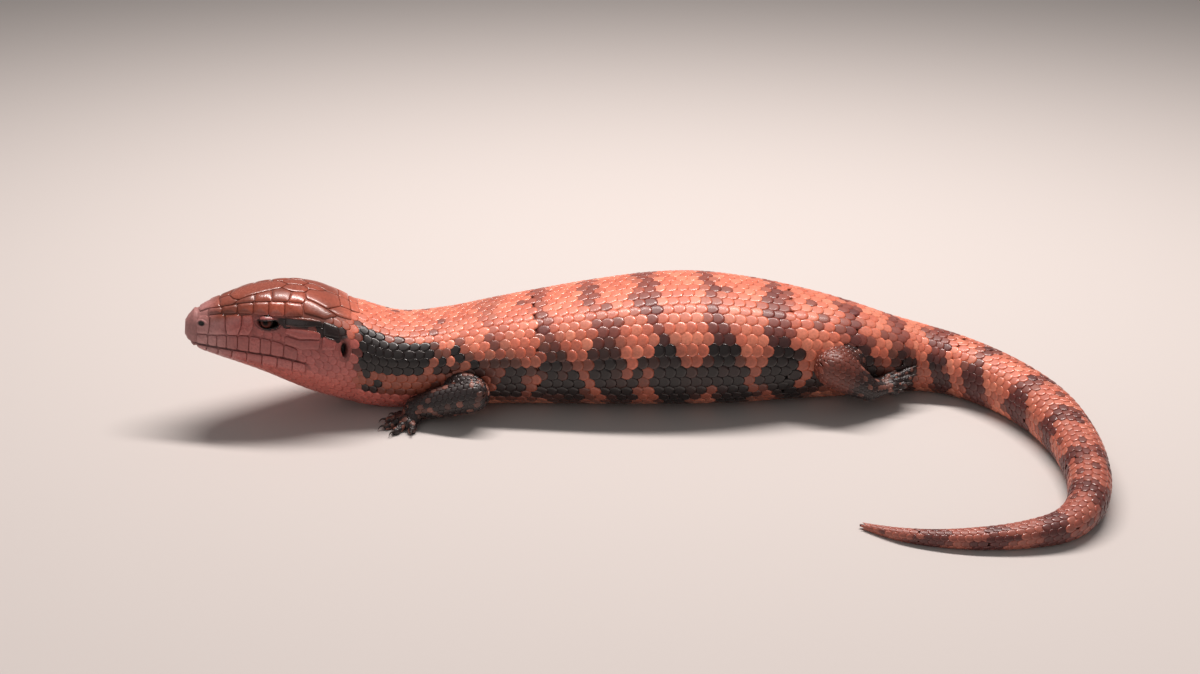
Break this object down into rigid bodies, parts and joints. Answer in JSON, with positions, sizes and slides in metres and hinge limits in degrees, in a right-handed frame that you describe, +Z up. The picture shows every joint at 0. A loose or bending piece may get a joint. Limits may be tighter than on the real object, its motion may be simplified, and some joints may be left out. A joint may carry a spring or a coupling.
{
  "type": "blue tongued skink",
  "caption": "Still life-size museum model of a blue tongued skink lying flat, its banded tail curled forward beside it.",
  "frame": {"origin": "middle of the footprint's bounding box, on the floor the animal lies on", "axes": "+X from the head towards the bend of the tail, +Y from the side the tail curls to towards the animal's right side, +Z up"},
  "size_m": [0.3794, 0.183, 0.0588],
  "materials": {
    "scales_copper": "glossy overlapping scales, copper tan with dark bands",
    "scales_pale": "smooth pale pinkish grey lip and throat scales",
    "scales_dark": "black scales with small pale flecks",
    "eye": "wet gloss"
  },
  "bodies": {
    "root": {"head": "scales_copper", "neck": "scales_copper", "chest": "scales_copper", "torso_front": "scales_copper", "torso_middle": "scales_copper", "torso_rear": "scales_copper", "pelvis": "scales_copper", "tail_1": "scales_copper", "tail_2": "scales_copper", "tail_3": "scales_copper", "tail_4": "scales_copper", "tail_5": "scales_copper", "tail_6": "scales_copper", "tail_7": "scales_copper", "tail_8": "scales_copper", "lower_jaw": "scales_pale", "upper_arm_left": "scales_dark", "forearm_left": "scales_dark", "hand_left": "scales_dark", "thigh_left": "scales_dark", "shank_left": "scales_dark", "foot_left": "scales_dark", "upper_arm_right": "scales_dark", "forearm_right": "scales_dark", "hand_right": "scales_dark", "thigh_right": "scales_dark", "shank_right": "scales_dark", "foot_right": "scales_dark", "eye_left": "eye", "eye_right": "eye"}
  },
  "joints": []
}
